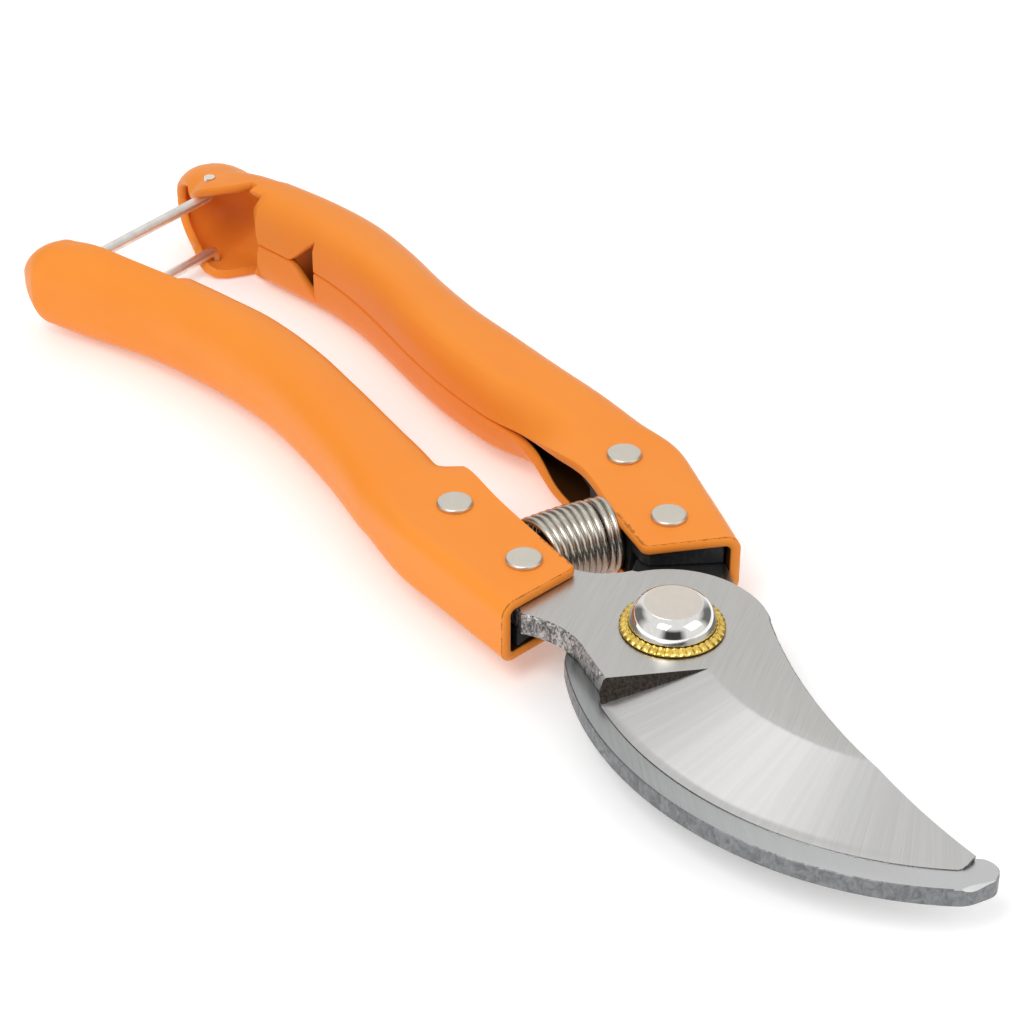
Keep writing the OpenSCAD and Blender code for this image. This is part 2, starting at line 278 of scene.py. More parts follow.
def plate(name, outline, low, high, low_edge, high_edge):
    """A flat plate whose rims have small chamfers, as tumbled stampings do."""
    outline = tidy_outline(outline)
    levels = [(low_edge, low), (0, low + low_edge), (0, high - high_edge), (high_edge, high)]
    return stack(name, [lifted(inset(outline, e) if e else outline, z) for e, z in levels])


def lathe(name, profile, segments, place=(0, 0, 0)):
    """A closed profile of (radius, height) points turned about Z. Points on the axis become poles."""
    points, rows = [], []
    for radius, height in profile:
        turns = segments if radius > 0 else 1
        rows.append([len(points) + k % turns for k in range(segments)])
        for a in (2 * pi * k / segments for k in range(turns)):
            points.append((place[0] + radius * cos(a), place[1] + radius * sin(a), place[2] + height))
    faces = []
    for lower, upper in zip(rows, rows[1:] + rows[:1]):
        for k in range(segments):
            m = (k + 1) % segments
            loop = [lower[k], lower[m], upper[m], upper[k]]
            loop = [v for j, v in enumerate(loop) if v != loop[j - 1]]
            if len(loop) > 2:
                faces.append(tuple(loop))
    return new_object(name, points, faces)


def rounded(profile, radius, steps=4):
    """The profile with each corner named in it as (r, z, True) turned into a small arc."""
    result = []
    count = len(profile)
    for k, corner in enumerate(profile):
        here = Vector(corner[:2])
        if len(corner) < 3:
            result.append(tuple(here))
            continue
        before = Vector(profile[k - 1][:2])
        after = Vector(profile[(k + 1) % count][:2])
        a = here + (before - here).normalized() * radius
        b = here + (after - here).normalized() * radius
        for j in range(steps + 1):
            t = j / steps
            result.append(tuple(a * (1 - t) ** 2 + here * 2 * t * (1 - t) + b * t * t))
    return result


def tube(name, path, radius, sides, frames=None):
    """A round wire along a path; frames gives two unit vectors across it at each point."""
    turns = [2 * pi * k / sides for k in range(sides)]
    return stack(name, [[tuple(Vector(point) + radius * (cos(a) * u + sin(a) * v)) for a in turns]
                        for point, (u, v) in zip(path, frames or carried_frames(path))])


def carried_frames(path):
    """Two vectors across the path at each point, carried along without twist."""
    points = [Vector(p) for p in path]
    frames = []
    u = None
    for k, point in enumerate(points):
        along = (points[min(k + 1, len(points) - 1)] - points[max(k - 1, 0)]).normalized()
        if u is None:
            u = along.orthogonal().normalized()
        u = (u - along * u.dot(along)).normalized()
        frames.append((u.copy(), along.cross(u)))
    return frames


# ---- materials ----

class Nodes:
    """Short calls for the nodes of one tree."""

    def __init__(self, tree):
        self.tree = tree
        self.place = self.add("TexCoord", "Object")

    def feed(self, socket, value):
        """Links another node's result to a socket, or sets the socket to a constant."""
        if isinstance(value, bpy.types.NodeSocket):
            self.tree.links.new(value, socket)
        else:
            socket.default_value = (*value, 1) if socket.type == "RGBA" else value

    def add(self, kind, result, inputs=(), **settings):
        """One result of a new node with these settings and inputs, each input as (name, value)."""
        node = self.tree.nodes.new("ShaderNode" + kind)
        for name, value in settings.items():
            setattr(node, name, value)
        for name, value in inputs:
            self.feed(node.inputs[name], value)
        return node.outputs[result]

    def grain(self, per_mm, turn=0.0, **kind):
        """Noise with the given number of units to the millimetre on each axis, turned about Z."""
        spun = self.add("Mapping", 0, [("Vector", self.place), ("Rotation", (0, 0, radians(turn)))])
        scaled = self.add("Mapping", 0, [("Vector", spun), ("Scale", [s / MM for s in per_mm])])
        return self.noise(scaled, **kind)

    def around(self, centre, per_mm, per_turn, **kind):
        """Noise in units that run out from an upright axis at the centre and round it."""
        away = self.add("VectorMath", 0, [(0, self.place), (1, [c * MM for c in (*centre, 0)])],
                        operation="SUBTRACT")
        x, y = self.part(away, "X"), self.part(away, "Y")
        flat = self.add("CombineXYZ", 0, [("X", x), ("Y", y)])
        radius = self.add("VectorMath", "Value", [(0, flat)], operation="LENGTH")
        return self.noise(self.add("CombineXYZ", 0, [
            ("X", self.maths("MULTIPLY", radius, per_mm / MM)),
            ("Y", self.maths("MULTIPLY", self.maths("ARCTAN2", y, x), per_turn / (2 * pi)))]), **kind)

    def part(self, vector, axis):
        return self.add("SeparateXYZ", axis, [(0, vector)])

    def maths(self, operation, a, b):
        return self.add("Math", 0, [(0, a), (1, b)], operation=operation)

    def noise(self, where, detail=2.0, rough=0.5, distortion=0.0):
        return self.add("TexNoise", "Fac", [("Vector", where), ("Scale", 1.0), ("Detail", detail),
                                            ("Roughness", rough), ("Distortion", distortion)])

    def ramp(self, value, *stops):
        """Colours or greys at places from 0 to 1."""
        result = self.add("ValToRGB", "Color", [("Fac", value)])
        band = result.node.color_ramp.elements
        while len(band) < len(stops):
            band.new(0.5)
        for element, (place, colour) in zip(band, stops):
            element.position = place
            element.color = (*colour, 1) if isinstance(colour, tuple) else (colour, colour, colour, 1)
        return result

    def mix(self, share, a, b):
        """From colour a to colour b by the share."""
        return self.add("Mix", 2, [(0, share), (6, a), (7, b)], data_type="RGBA")

    def painted(self, name):
        """A value that the mesh carries at its points."""
        return self.add("Attribute", "Fac", attribute_name=name)


class Finish(Nodes):
    """A material built round one Principled shader."""

    def __init__(self, name, colour, metallic, roughness, **constants):
        self.material = bpy.data.materials.new(name)
        self.material.use_nodes = True
        super().__init__(self.material.node_tree)
        self.shader = self.tree.nodes["Principled BSDF"].inputs
        self.set(Base_Color=colour, Metallic=metallic, Roughness=roughness, **constants)

    def set(self, **values):
        for socket, value in values.items():
            self.feed(self.shader[socket.replace("_", " ")], value)

    def made(self, colour, roughness, *layers):
        """The material, given its height layers as (value, depth in millimetres), coarse to fine."""
        self.set(Base_Color=colour, Roughness=roughness)
        under = []
        for value, depth in layers:
            inputs = [("Strength", 1), ("Distance", depth * MM), ("Height", value)]
            under = [("Normal", self.add("Bump", "Normal", inputs + under))]
        self.set(**dict(under))
        return self.material


def orange_coating():
    """Semi-gloss coat over pressed sheet, chipped along the front edges, with painted shade inside the
    channel.
    """
    finish = Finish("orange_coating", (0.9, 0.285, 0.04), 0, 0.4, Specular_IOR_Level=0.15)
    broad = finish.grain((0.05, 0.08, 0.08), detail=2)
    fine = finish.grain((1.3, 1.3, 1.3), detail=2)
    base = finish.ramp(broad, (0.3, (0.88, 0.27, 0.034)), (0.7, (0.9, 0.29, 0.04)))
    # painted shade: the inner skin is painted near black where the channel lies in shade
    base = finish.mix(finish.painted("inside"), base, (0.02, 0.009, 0.004))
    chips = finish.grain((0.9, 0.9, 0.9), detail=5, rough=0.75)
    worn = finish.maths("MULTIPLY", finish.painted("rim"), chips)
    share = finish.ramp(worn, (0.39, 0.0), (0.45, 0.6))
    return finish.made(finish.mix(share, base, (0.2, 0.06, 0.012)),
                       finish.ramp(fine, (0.3, 0.34), (0.75, 0.44)), (broad, 0.25), (fine, 0.004))


def brushed_steel(name, colour, turn, contrast=0.2, roughness=0.34, reflection_tone=None):
    """Steel with fine parallel lines one way, lighter where the mesh carries a painted reflection value.
    """
    finish = Finish(name, colour, 1, roughness)
    lines = finish.grain((0.1, 9, 3), turn, detail=3, rough=0.7)
    broad = finish.grain((0.04, 1.1, 0.4), turn, detail=2)
    dark = tuple(c * (1 - contrast) for c in colour)
    tone = finish.mix(finish.ramp(lines, (0.3, 0.0), (0.7, 1.0)), dark, colour)
    tone = finish.mix(finish.ramp(broad, (0.35, 0.3), (0.7, 0.0)), tone, dark)
    # painted reflection: the flat is painted lighter where the mesh carries that value
    if reflection_tone:
        tone = finish.mix(finish.painted("painted_reflection"), tone, reflection_tone)
    gloss = finish.ramp(lines, (0.3, roughness - 0.04), (0.7, roughness + 0.06))
    return finish.made(tone, gloss, (lines, 0.002))


def ground_steel():
    """The hollow-ground face: fine grinding lines that run from the spine to the edge."""
    finish = Finish("ground_steel", (0.7, 0.69, 0.67), 1, 0.3)
    lines = finish.around(EDGE_C, 0.05, 2300, detail=3, rough=0.65)
    wide = finish.around(EDGE_C, 0.04, 260, detail=2)
    tone = finish.ramp(lines, (0.3, (0.58, 0.575, 0.565)), (0.7, (0.64, 0.635, 0.625)))
    tone = finish.mix(finish.ramp(wide, (0.4, 0.3), (0.65, 0.0)), tone, (0.52, 0.515, 0.505))
    return finish.made(tone, finish.ramp(lines, (0.3, 0.2), (0.7, 0.26)), (lines, 0.001))


def stamped_steel(name, colour, grain, depth, shade=0.15):
    """The rough side of a stamping: torn and speckled, with the given grain to the millimetre."""
    finish = Finish(name, colour, 1, 0.5)
    torn = finish.grain((grain, grain, grain * 0.7), detail=3, rough=0.65, distortion=1.2)
    specks = finish.grain((0.5, 0.5, 0.5), detail=4, rough=0.7)
    dark = tuple(c * shade for c in colour)
    tone = finish.mix(finish.ramp(torn, (0.36, 0.0), (0.6, 1.0)), dark, colour)
    tone = finish.mix(finish.ramp(specks, (0.35, 0.55), (0.5, 0.0)), tone, dark)
    return finish.made(tone, finish.ramp(torn, (0.3, 0.6), (0.7, 0.38)), (torn, depth))


def clouded(name, colour, roughness, grain, detail, tones, glosses, depth, rough=0.6):
    """Metal whose tone and gloss follow one soft noise, with the grain in units to the millimetre."""
    finish = Finish(name, colour, 1, roughness)
    cloud = finish.grain((grain, grain, grain), detail=detail, rough=rough)
    gloss = finish.ramp(cloud, *glosses) if glosses else roughness
    return finish.made(finish.ramp(cloud, *tones), gloss, (cloud, depth))


def chrome():
    """Polished plating with faint handling marks."""
    finish = Finish("chrome", (0.86, 0.85, 0.82), 1, 0.06)
    marks = finish.grain((0.8, 2.4, 1.2), 30, detail=3, rough=0.6)
    return finish.made(finish.ramp(marks, (0.3, (0.8, 0.79, 0.76)), (0.7, (0.88, 0.87, 0.84))),
                       finish.ramp(marks, (0.35, 0.04), (0.75, 0.11)))


def turned(name, centre, dark, light, roughness):
    """Satin metal with faint rings about the axis at the centre."""
    finish = Finish(name, light, 1, roughness)
    rings = finish.around(centre, 5, 3, detail=2, rough=0.6)
    cloud = finish.grain((0.9, 0.9, 0.9), detail=3)
    tone = finish.mix(finish.ramp(rings, (0.3, 0.6), (0.7, 1.0)), dark, light)
    tone = finish.mix(finish.ramp(cloud, (0.35, 0.3), (0.7, 0.0)), tone, dark)
    gloss = finish.ramp(cloud, (0.3, roughness - 0.04), (0.7, roughness + 0.08))
    return finish.made(tone, gloss, (cloud, 0.004))


def black_plastic():
    """Moulded plastic with a light spark-eroded texture."""
    finish = Finish("black_plastic", (0.01, 0.01, 0.011), 0, 0.42, Specular_IOR_Level=0.25)
    grain = finish.grain((3, 3, 3), detail=3, rough=0.6)
    scuffs = finish.grain((0.4, 1.6, 0.9), 25, detail=3, rough=0.7)
    tone = finish.ramp(scuffs, (0.45, (0.01, 0.01, 0.011)), (0.75, (0.028, 0.027, 0.026)))
    return finish.made(tone, finish.ramp(grain, (0.3, 0.36), (0.7, 0.52)), (grain, 0.012))


def plated_wire(name, dark, light, roughness):
    """Bright plated wire with small dull patches."""
    return clouded(name, light, roughness, 0.5, 3, [(0.3, dark), (0.65, light)],
                   [(0.3, roughness + 0.08), (0.7, roughness)], 0.002)


ORANGE = orange_coating()
BLADE_FLAT = brushed_steel("blade_flat_steel", (0.64, 0.63, 0.61), 47)
# The hook's flat carries a painted reflection that lightens it towards the nose
HOOK_FLAT = brushed_steel("hook_flat_steel", (0.46, 0.47, 0.47), 20, roughness=0.3,
                          reflection_tone=(0.66, 0.66, 0.66))
GROUND = ground_steel()
NECK_SIDE = stamped_steel("neck_side_steel", (0.55, 0.54, 0.53), 1.5, 0.3)
HOOK_SIDE = stamped_steel("hook_side_steel", (0.25, 0.255, 0.26), 0.9, 0.012, 0.7)
# The steep step behind the ground face, painted near black as painted shade
SHADED_SHOULDER_METAL = clouded("shaded_shoulder_steel", (0.06, 0.05, 0.04), 0.45, 2.5, 3,
                         [(0.3, (0.035, 0.028, 0.022)), (0.75, (0.13, 0.11, 0.095))], None, 0.012, 0.65)
CHROME = chrome()
BOLT_FLAT = turned("bolt_flat_steel", (0, 0), (0.68, 0.62, 0.55), (0.8, 0.74, 0.66), 0.34)
GOLD = clouded("gold_plate", (0.86, 0.6, 0.13), 0.22, 0.9, 4,
               [(0.3, (0.68, 0.42, 0.07)), (0.7, (0.95, 0.72, 0.2))], [(0.3, 0.22), (0.7, 0.34)], 0.002)
PLASTIC = black_plastic()
SPRING_METAL = plated_wire("spring_nickel_wire", (0.5, 0.47, 0.41), (0.61, 0.57, 0.5), 0.2)
BAIL_METAL = plated_wire("latch_nickel_wire", (0.78, 0.75, 0.7), (0.92, 0.9, 0.86), 0.38)
ZINC = clouded("zinc", (0.6, 0.6, 0.6), 0.35, 0.5, 4,
               [(0.3, (0.45, 0.45, 0.46)), (0.7, (0.68, 0.68, 0.67))], [(0.3, 0.28), (0.7, 0.45)], 0.008)


# ---- handles ----

# Each row: [place along the tool, outer side, inner side, half height, radius of the outer
# corners, radius of the rolled edge, length of lip after the roll, angle of the roll]
def channel_row(x, outer, inner):
    middle = CHANNEL_MID[1] - (x - CHANNEL_MID[0]) * tan(CHANNEL_ANGLE)
    return [x, middle + outer, middle - inner, CHANNEL_H, 2.1, 1.8, 2.4, 0]


def grip_row(x, outer, inner, half, roll):
    return [x, outer, inner, half, 0.78 * half, 0.58 * half, 0.42 * half - SEAM, roll]


def handle_rows(channel, grip):
    return [channel_row(*row) for row in channel] + [grip_row(*row) for row in grip]


BLADE_HANDLE_ROWS = handle_rows(
    [(-13.8, 8.3, 4.5), (-24.5, 8.8, 5.1), (-35, 9.3, 5.8)],
    [(-44.6, 23, 7.7, 5, 8), (-48.5, 23, 9.3, 5.4, 70), (-58.4, 22.5, 10.7, 5.8, 90),
     (-69.4, 22.6, 11.5, 6.4, 90), (-80.4, 23.4, 12.5, 6.9, 90), (-91.4, 25.6, 14.6, 7.3, 90),
     (-101.4, 28.8, 18.2, 7.5, 90), (-110, 32.4, 21.7, 7.6, 90), (-117, 36.1, 25.2, 7.8, 90),
     (-123, 39.6, 28.5, 8, 90), (-127.8, 42.8, 30.2, 7.3, 90)])
BLADE_HANDLE_TIP = (-133.8, 41.8)
# The open mouth for the latch: places along the tool with the outward limit of what is cut away
BLADE_HANDLE_MOUTH = [(-108.3, 25.1), (-117.2, 29.6), (-125.2, 33.6), (-130.7, 36.6), (-150, 37)]

HOOK_HANDLE_ROWS = handle_rows(
    [(-13.2, 7.3, 5.45), (-24.5, 8.2, 6.3), (-35, 8.8, 6.4)],
    [(-43.4, 21.4, 5.9, 5.2, 20), (-52.4, 20.1, 5.8, 5.7, 62), (-61.4, 18.2, 3.8, 6.3, 90),
     (-71.4, 16.3, 2.3, 6.9, 90), (-81.4, 14.5, 1.7, 7.3, 90), (-91.4, 13.6, 1.6, 7.7, 90),
     (-101.4, 13.4, 1.2, 8, 90), (-111.4, 12.5, -0.3, 8.2, 90), (-121.4, 9.7, -3.4, 8.4, 90),
     (-130.4, 6, -6.5, GRIP_H, 90)])
HOOK_HANDLE_END = [
    [-130.6, 5.9, -13.5, GRIP_H, 7.2, 5.2, 3, 90], [-134.5, 4, -13.5, GRIP_H, 7.4, 5.2, 3, 90],
    [-138, 2.1, -12.4, 8.2, 7.8, 6.2, 1.7, 90]]
# Further sections where the open end closes in towards its tip
HOOK_HANDLE_LAST = (-135.3, -136.2, -137.1)
HOOK_HANDLE_TIP = (-149.8, -7.6)
HOOK_HANDLE_MOUTH = [(-130.2, -2.4), (-131.6, -2.9), (-131.9, -5.4), (-132.3, -8), (-133.1, -9.9),
                     (-134.4, -11.1), (-136.2, -11.7), (-138.5, -11.5), (-141, -10.8), (-155, -9.9)]
# Notch in the rolled edges: where it is widest, where it ends in a point, half its width
HOOK_HANDLE_NOTCH = (-112.8, -118.6, 5.6)
# Where the rolled edges begin to part ahead of the open end
HOOK_HANDLE_FLARE = (-125.6, -127.6, 7.9)


def through(rows, t):
    """Smooth curve through rows of values; t counts rows."""
    last = len(rows) - 1
    k = min(floor(t), last - 1)
    f = t - k
    a, b, c, d = rows[max(k - 1, 0)], rows[k], rows[k + 1], rows[min(k + 2, last)]
    return [0.5 * (2 * q + (r - p) * f + (2 * p - 5 * q + 4 * r - s) * f * f
                   + (3 * q - p - 3 * r + s) * f ** 3) for p, q, r, s in zip(a, b, c, d)]


def place_on(rows, x):
    """The count of rows at which the smooth curve reaches a place along the tool."""
    low, high = 0.0, len(rows) - 1.0
    for _ in range(40):
        t = (low + high) / 2
        if through(rows, t)[0] > x:
            low = t
        else:
            high = t
    return (low + high) / 2


def row_at(rows, x):
    """The row of values where the smooth curve passes a place along the tool."""
    return [x] + through(rows, place_on(rows, x))[1:]


def between(pairs, x):
    """The value at x on the straight lines through (x, value) pairs, with x falling."""
    for (x0, v0), (x1, v1) in zip(pairs, pairs[1:]):
        if x1 <= x <= x0:
            return v0 + (v1 - v0) * (x - x0) / (x1 - x0)
    return pairs[0][1] if x > pairs[0][0] else pairs[-1][1]


OUT, UP = 0, 1


class Section:
    """The upper half of a handle's section past its outer corner, measured by length along it."""

    def __init__(self, row):
        _, self.outer, self.inner, self.half, self.corner, fold, self.lip, roll = row
        self.roll = radians(min(max(roll, 1), 90))
        self.bend = fold * pi / 2
        self.rho = self.bend / self.roll
        self.fold_start = self.inner + self.rho * sin(self.roll) + self.lip * cos(self.roll)
        self.flat = self.outer - self.corner - self.fold_start
        self.length = self.flat + self.bend + self.lip

    def at(self, s):
        if s <= self.flat:
            return self.outer - self.corner - s, self.half
        a = min((s - self.flat) / self.rho, self.roll)
        out = self.fold_start - self.rho * sin(a)
        up = self.half - self.rho * (1 - cos(a))
        past = max(s - self.flat - self.bend, 0)
        return out - past * cos(self.roll), up - past * sin(self.roll)

    def half_ring(self, limit, level):
        """Points from the middle of the back by way of the two lengths to the end."""
        c = self.corner
        half = [(self.outer, (self.half - c) * k / WALL_STEPS) for k in range(WALL_STEPS)]
        half += arc((self.outer - c, self.half - c), c, 0, 90, BACK_STEPS)
        for start, end, steps in ((0, limit, TOP_STEPS), (limit, level, ROLL_STEPS),
                                  (level, self.length, LIP_STEPS)):
            half += [self.at(start + (end - start) * k / steps) for k in range(1, steps + 1)]
        return half

    def reach(self, axis, value):
        """How far along the section it comes in (axis OUT) or down (axis UP) to the value."""
        low, high = max(self.flat, 0) if axis == UP else 0.0, self.length
        for _ in range(30):
            s = (low + high) / 2
            if self.at(s)[axis] > value:
                low = s
            else:
                high = s
        return high


WALL_STEPS = 3          # faces up half of the flat back
BACK_STEPS = 9          # faces round the outer corner
TOP_STEPS = 9           # faces from the corner to where a mouth may begin
ROLL_STEPS = 9          # faces from there round the rolled edge
LIP_STEPS = 3           # faces in the part of the lip that a notch takes away
STATION = 1.1           # spacing of the sections along the tool
FRONT_ROUND = 0.9       # radius of the front opening's inner corners, seen from above
FRONT_LEAN = 0.29       # how far forward the front opening runs for each millimetre outwards
LEAN_FROM, LEAN_FULL = -30, -14         # places along the tool where that lean starts and is full

# Painted shade inside a handle: how dark the inner skin is painted, falling off along the tool towards
# its open end
PAINTED_SHADE_INSIDE = [(-118, 0.96), (-124, 0.4), (-128, 0)]


def handle_stations(rows, end_rows, tip, extra):
    """Each section to build: (x, row, share of size left, outward shift), front to tip."""
    first, last = rows[0][0], rows[-1][0]
    count = ceil((first - last) / STATION)
    places = {first + (last - first) * k / count for k in range(count + 1)}
    places = sorted(places | {x for x in extra if last < x < first}, reverse=True)
    kept = [x for k, x in enumerate(places) if x in extra or k == 0
            or all(abs(x - e) > 0.35 for e in extra)]
    stations = [row_at(rows, x) for x in kept]
    if end_rows:
        marks = sorted({x for x in extra if x < last} | set(HOOK_HANDLE_LAST), reverse=True)
        stations += [row_at(end_rows, x) for x in marks if end_rows[-1][0] < x <= end_rows[0][0]]
        stations.append(end_rows[-1])
    result = [(row[0], row, 1.0, 0.0) for row in stations]
    final = stations[-1]
    middle = (final[1] + final[2]) / 2
    for a in [4, 9, 14, 20, 26, 32, 38, 44, 50, 56, 62, 68, 73, 78, 82, 85, 87.5]:
        share = cos(radians(a))
        x = final[0] - (final[0] - tip[0]) * sin(radians(a))
        result.append((x, final, share, (tip[1] - middle) * (1 - share)))
    return result


def rolled_length(x, section, notch, flare, lip_share):
    """How far along a section the rolled edge runs before a notch or the flared end takes it away."""
    if flare and x < flare[0]:
        parted = min(1, (flare[0] - x) / (flare[0] - flare[1]))
        return section.reach(UP, SEAM + (flare[2] - SEAM) * parted)
    if notch and notch[1] < x < notch[0]:
        return section.reach(UP, notch[2] * (x - notch[1]) / (notch[0] - notch[1]))
    return section.length * (1.0 if notch and x < notch[0] else lip_share)


def handle_points(rows, stations, side, mouth, notch, flare):
    """The sections' points, each from one cut edge round the back to the other."""
    front, mouth_x = rows[0][0], mouth[0][0]
    at_mouth = Section(row_at(rows, mouth_x))
    mouth_share = at_mouth.reach(OUT, mouth[0][1]) / at_mouth.length
    lip_share = 1.0
    if notch:
        at_notch = Section(row_at(rows, notch[0]))
        lip_share = at_notch.reach(UP, notch[2]) / at_notch.length
    points = []
    for x, row, share, shift in stations:
        section = Section(row)
        middle = (row[1] + row[2]) / 2
        limit = mouth_share * section.length
        if x <= mouth_x:
            limit = section.reach(OUT, middle + (between(mouth, x) - middle - shift) / share)
        back = min(FRONT_ROUND, max(0, FRONT_ROUND - front + x))
        section.length -= FRONT_ROUND - (FRONT_ROUND ** 2 - back ** 2) ** 0.5
        half = section.half_ring(limit, max(limit, rolled_length(x, section, notch, flare, lip_share)))
        lean = FRONT_LEAN * max(0, (x - LEAN_FROM) / (LEAN_FULL - LEAN_FROM))
        for out, up in [(out, -up) for out, up in half[:0:-1]] + half:
            out = middle + (out - middle) * share + shift
            points.append((x + lean * (out - CHANNEL_MID[1]), side * out, SHEAR + up * share))
    return points


def handle_faces(places, side, mouth_x, notch):
    """Faces between neighbouring sections, as far round as the mouth and the notch leave them."""
    top_end = WALL_STEPS + BACK_STEPS + TOP_STEPS
    roll_end = top_end + ROLL_STEPS
    back = roll_end + LIP_STEPS
    count = 2 * back + 1
    faces = []
    for i, x in enumerate(places[1:]):
        reach = back
        if notch and x < notch[0] - CLOSE:
            reach = roll_end
        if x < mouth_x - CLOSE:
            reach = top_end
        for a in range(i * count + back - reach, i * count + back + reach):
            loop = (a, a + count, a + count + 1, a + 1)
            faces.append(loop if side > 0 else loop[::-1])
    return faces


def handle(name, rows, tip, side, mouth, holes, end_rows=(), notch=None, flare=None):
    """A pressed shell: the outer surface given the sheet's thickness, with rounded cut edges."""
    extra = [x for x, _ in mouth[:-1]]
    extra += [rows[0][0] - FRONT_ROUND * (1 - cos(radians(18 * k))) for k in range(1, 6)]
    extra += [*(notch or ())[:2], *(flare or ())[:2]]
    stations = handle_stations(rows, end_rows, tip, extra)
    points = handle_points(rows, stations, side, mouth, notch, flare)
    faces = handle_faces([x for x, *_ in stations], side, mouth[0][0], notch)
    surface = new_object(name + "_surface", points, faces)
    modify(surface, "WELD", merge_threshold=CLOSE * MM)
    work_in(surface)
    edited(surface, drop_loose)
    borders = [surface.data.vertices[a].co.copy() for a, _, _ in open_edges(surface.data)]
    obj = thickened(name, surface.data, SHEET_T, bulge=0.3)
    bpy.data.objects.remove(surface)
    combine(obj, holes, "DIFFERENCE")
    paint_rim(obj, borders)
    return obj


def thickened(name, mesh, thickness, bulge):
    """A closed solid from a surface: a second skin inside it, and rounded rims along its borders."""
    borders = open_edges(mesh)
    outer = [v.co / MM for v in mesh.vertices]
    normals = [v.normal.copy() for v in mesh.vertices]
    away = {}
    for a, b, normal in borders:
        across = (outer[b] - outer[a]).cross(normal).normalized()
        for v in (a, b):
            away[v] = away.get(v, Vector()) + across
    points = outer + [p - n * thickness for p, n in zip(outer, normals)]
    inner = len(outer)
    faces = [tuple(face.vertices) for face in mesh.polygons]
    faces += [tuple(v + inner for v in reversed(face.vertices)) for face in mesh.polygons]
    rim_steps = ((0.12, 0.55), (0.32, 0.93), (0.5, 1.0), (0.68, 0.93), (0.88, 0.55))
    rims = {}
    for v, across in away.items():
        across = across - normals[v] * across.dot(normals[v])
        across = across.normalized() if across.length > 1e-6 else Vector()
        rims[v] = [v]
        for depth, out in rim_steps:
            rims[v].append(len(points))
            points.append(outer[v] - normals[v] * thickness * depth + across * bulge * out)
        rims[v].append(v + inner)
    for a, b, _ in borders:
        for k in range(len(rim_steps) + 1):
            faces.append((rims[b][k], rims[a][k], rims[a][k + 1], rims[b][k + 1]))
    obj = new_object(name, points, faces)
    skin = range(inner, 2 * inner)
    # painted shade: the inner skin carries how dark it is painted, by place along the tool
    store(obj, "inside", lambda v: between(PAINTED_SHADE_INSIDE, v.co.x / MM) if v.index in skin else 0)
    return obj


def open_edges(mesh):
    """The edges that only one face uses, each as (from, to, the face's normal)."""
    uses = {}
    for face in mesh.polygons:
        for a, b in zip(face.vertices, [*face.vertices[1:], face.vertices[0]]):
            uses.setdefault((min(a, b), max(a, b)), []).append((a, b, face.normal.copy()))
    return [found[0] for found in uses.values() if len(found) == 1]


def paint_rim(obj, borders, width=0.5, front=-24):
    """Stores how near each point is to a cut edge, from 0 to 1; less behind the front opening."""
    tree = kdtree.KDTree(len(borders))
    for k, point in enumerate(borders):
        tree.insert(point, k)
    tree.balance()

    def nearness(vertex):
        near = max(0.0, 1 - tree.find(vertex.co)[2] / (width * MM))
        return near if vertex.co.x > front * MM else 0.5 * near

    store(obj, "rim", nearness)


def bore(radius, place, low=-20, high=20, sides=48):
    """An upright cylinder to cut a round hole with; heights from the blades' plane."""
    return lathe("bore", [(0, low), (radius, low), (radius, high), (0, high)], sides, (*place, SHEAR))


def rivet_place(side, end):
    return from_channel((end * RIVET_PITCH / 2, 0), side)


def rivet_bores(side):
    return [bore(RIVET_D / 2 + 0.05, rivet_place(side, end)) for end in (-1, 1)]


blade_handle = handle("coated_blade_handle", BLADE_HANDLE_ROWS, BLADE_HANDLE_TIP, -1,
                      BLADE_HANDLE_MOUTH, rivet_bores(-1))
dress(blade_handle, 40, "blade_side", "blade_handle", "handle_coating", ORANGE)

hook_handle = handle("coated_hook_handle", HOOK_HANDLE_ROWS, HOOK_HANDLE_TIP, 1, HOOK_HANDLE_MOUTH,
                     rivet_bores(1) + [bore(BAIL_D / 2 + 0.08, BAIL_PIVOT, sides=32)],
                     HOOK_HANDLE_END, HOOK_HANDLE_NOTCH, HOOK_HANDLE_FLARE)
dress(hook_handle, 40, "hook_side", "hook_handle", "handle_coating", ORANGE)


# ---- blades ----

# The tang inside a channel, from its outer front corner round to its inner one
TANG = [(-15, 5.7), (10.5, 5.7), (12.2, 5.2), (13.2, 4), (13.2, -1.6), (12.4, -2.8), (11, -3.2),
        (-8.6, -3.2), (-9.4, -3.8), (-9.6, -5.2)]
TIP_C = (53.7, 9.9)
TIP_R = 2.2
NOSE_FACET = (55.8, 7.6)        # middle of the wider facet at the hook's nose
NOSE_X = 54.8                   # beyond this place the facet counts as part of the hook's flat
SHOULDER = (9.8, -0.4)          # where the shoulder ends the ground face, its direction and its slope
SHOULDER_TURN = radians(-19.1)
SHOULDER_SLOPE = radians(30)
HOLLOW = 0.07                   # depth of the hollow of the ground face
HOOK_REFLECTION = [(48, 0.85), (24, 0)]  # painted reflection: places along the hook with how much lighter its flat is painted, up to 1


def cutting_outline():
    return (arc((0, 0), HUB_R, 72, 170, 60) + arc((-22.6, 2.5), 9.2, -5, -62, 20)
            + [from_channel(p, -1) for p in reversed(TANG)]
            + arc((-2.6, -24.4), 12, 136, 80, 24) + [(5.4, -13.1)]
            + arc(EDGE_C, EDGE_R, 262, 328, 160) + [(52.58, 8.1), (52.5, 8.9)]
            + arc(SPINE_C, SPINE_R, 286, 250.4, 60))


def hook_nose():
    """The hook's outer side, over its last part round the nose."""
    lead = [(55.35, 5.95), (55.62, 6.55), (55.79, 7.2), (55.87, 7.9)]
    return lead + arc(TIP_C, TIP_R, -36, 60, 16)[6:]


